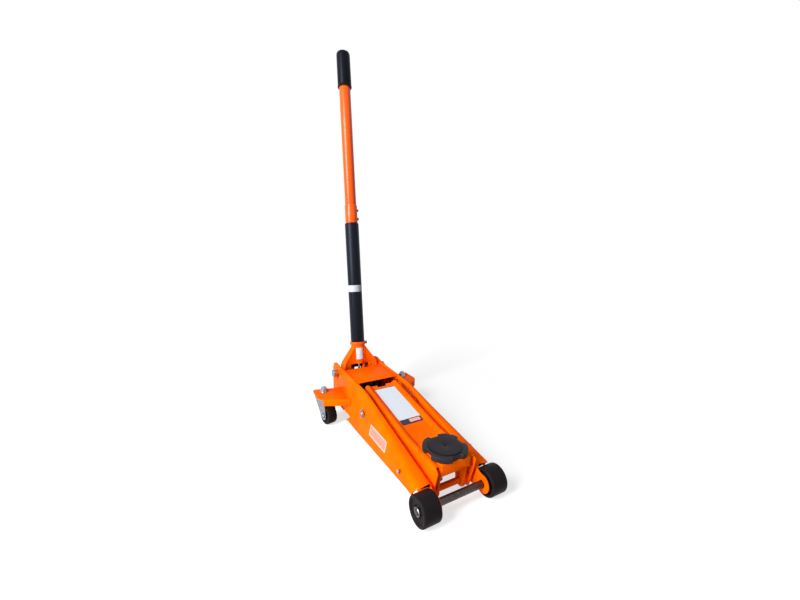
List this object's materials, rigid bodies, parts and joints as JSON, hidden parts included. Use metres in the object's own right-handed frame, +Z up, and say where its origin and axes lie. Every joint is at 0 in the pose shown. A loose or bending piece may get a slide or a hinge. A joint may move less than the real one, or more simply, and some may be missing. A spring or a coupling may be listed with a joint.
{
  "type": "car trolley jack",
  "caption": "Low steel trolley jack on front wheels and rear swivel casters, with a sloping lift arm, a round levelling saddle and a long upright pump handle",
  "frame": {"origin": "on the floor under the middle of the overall box", "axes": "+X forward to the saddle end, +Y to the jack's left, +Z up"},
  "size_m": [0.8132, 0.39, 1.3274],
  "materials": {
    "orange_paint": "gloss orange powder coat",
    "black_rubber": "matt black rubber",
    "foam": "black foam",
    "dark_cast": "dark cast iron",
    "bare_steel": "bare machined steel",
    "zinc": "zinc plated steel",
    "nylon": "dark nylon",
    "black_steel": "satin black steel"
  },
  "bodies": {
    "frame": {"left_side_plate": "orange_paint", "right_side_plate": "orange_paint", "front_axle": "bare_steel", "left_hub_nut": "zinc", "right_hub_nut": "zinc", "left_caster_bracket": "orange_paint", "right_caster_bracket": "orange_paint", "left_caster_stud": "zinc", "right_caster_stud": "zinc", "base_plate": "orange_paint", "cover_plate": "orange_paint", "unit_mount": "black_steel", "left_unit_bolt": "black_steel", "right_unit_bolt": "black_steel", "left_guard_screw": "zinc", "right_guard_screw": "zinc", "power_unit": "black_steel", "cylinder": "black_steel", "release_valve": "zinc", "pivot_shaft": "bare_steel", "left_pivot_nut": "zinc", "right_pivot_nut": "zinc", "link_anchor": "bare_steel", "link_rear_pin": "zinc", "left_socket_bolt": "zinc", "right_socket_bolt": "zinc"},
    "arm": {"lift_arm": "orange_paint", "crank_pin": "bare_steel", "bolster_pin": "orange_paint"},
    "bolster_body": {"bolster": "orange_paint", "link_front_pin": "zinc"},
    "saddle_body": {"saddle": "dark_cast", "saddle_pad": "black_rubber"},
    "link": {"levelling_link": "bare_steel"},
    "ram": {"ram_rod": "bare_steel", "ram_fork": "bare_steel"},
    "plunger": {"pump_plunger": "zinc"},
    "socket": {"handle_socket": "orange_paint", "pump_roller": "bare_steel"},
    "handle": {"turning_sleeve": "orange_paint", "clamp_screw": "black_steel", "release_rod": "zinc", "lower_tube": "orange_paint", "foam_sleeve": "foam", "joint_ring": "orange_paint", "upper_tube": "orange_paint", "lower_snap_button": "black_steel", "upper_snap_button": "black_steel", "grip": "black_rubber"},
    "front_wheel_left": {"left_front_wheel": "nylon"},
    "front_wheel_right": {"right_front_wheel": "nylon"},
    "caster_left": {"left_caster_fork": "zinc", "left_caster_axle": "zinc"},
    "caster_right": {"right_caster_fork": "zinc", "right_caster_axle": "zinc"},
    "caster_wheel_left": {"left_caster_wheel": "nylon"},
    "caster_wheel_right": {"right_caster_wheel": "nylon"}
  },
  "joints": [
    {"name": "arm_lift", "type": "hinge", "parent": "frame", "child": "arm", "pos_m": [0.01859, 0, 0.104], "axis": [0, -1, 0], "range_deg": [0, 68]},
    {"name": "bolster_level", "type": "hinge", "parent": "arm", "child": "bolster_body", "pos_m": [0.32259, 0, 0.028], "axis": [0, -1, 0], "range_deg": [-68, 0]},
    {"name": "saddle_turn", "type": "hinge", "parent": "bolster_body", "child": "saddle_body", "pos_m": [0.30659, 0, 0.112], "axis": [0, 0, 1], "continuous": true},
    {"name": "link_swing", "type": "hinge", "parent": "frame", "child": "link", "pos_m": [0.01179, -0.028, 0.1245], "axis": [0, -1, 0], "range_deg": [0, 68]},
    {"name": "ram_extend", "type": "slide", "parent": "frame", "child": "ram", "axis": [1, 0, 0], "range_m": [0, 0.0649]},
    {"name": "plunger_stroke", "type": "slide", "parent": "frame", "child": "plunger", "axis": [1, 0, 0], "range_m": [0, 0.02205]},
    {"name": "socket_pump", "type": "hinge", "parent": "frame", "child": "socket", "pos_m": [-0.25041, 0, 0.143], "axis": [0, -1, 0], "range_deg": [0, 60], "stiffness_Nm_per_rad": 8, "springref_deg": -28.65},
    {"name": "handle_twist", "type": "hinge", "parent": "socket", "child": "handle", "pos_m": [-0.25041, 0, 0.143], "axis": [-0.1115, 0, 0.9938], "range_deg": [0, 90]},
    {"name": "front_wheel_left_spin", "type": "hinge", "parent": "frame", "child": "front_wheel_left", "pos_m": [0.37059, 0.1, 0.036], "axis": [0, 1, 0], "continuous": true},
    {"name": "front_wheel_right_spin", "type": "hinge", "parent": "frame", "child": "front_wheel_right", "pos_m": [0.37059, -0.1, 0.036], "axis": [0, 1, 0], "continuous": true},
    {"name": "caster_left_swivel", "type": "hinge", "parent": "frame", "child": "caster_left", "pos_m": [-0.19141, 0.16, 0.1], "axis": [0, 0, 1], "continuous": true},
    {"name": "caster_wheel_left_spin", "type": "hinge", "parent": "caster_left", "child": "caster_wheel_left", "pos_m": [-0.16315, 0.15348, 0.032], "axis": [0.225, 0.9744, 0], "continuous": true},
    {"name": "caster_right_swivel", "type": "hinge", "parent": "frame", "child": "caster_right", "pos_m": [-0.19141, -0.16, 0.1], "axis": [0, 0, 1], "continuous": true},
    {"name": "caster_wheel_right_spin", "type": "hinge", "parent": "caster_right", "child": "caster_wheel_right", "pos_m": [-0.16315, -0.15348, 0.032], "axis": [-0.225, 0.9744, 0], "continuous": true}
  ],
  "couplings": [
    {"joint": "bolster_level", "follows": "arm_lift", "ratio": -1},
    {"joint": "link_swing", "follows": "arm_lift", "ratio": 1},
    {"joint": "ram_extend", "follows": "arm_lift", "m_per_rad": 0.05466},
    {"joint": "plunger_stroke", "follows": "socket_pump", "m_per_rad": 0.02101}
  ]
}
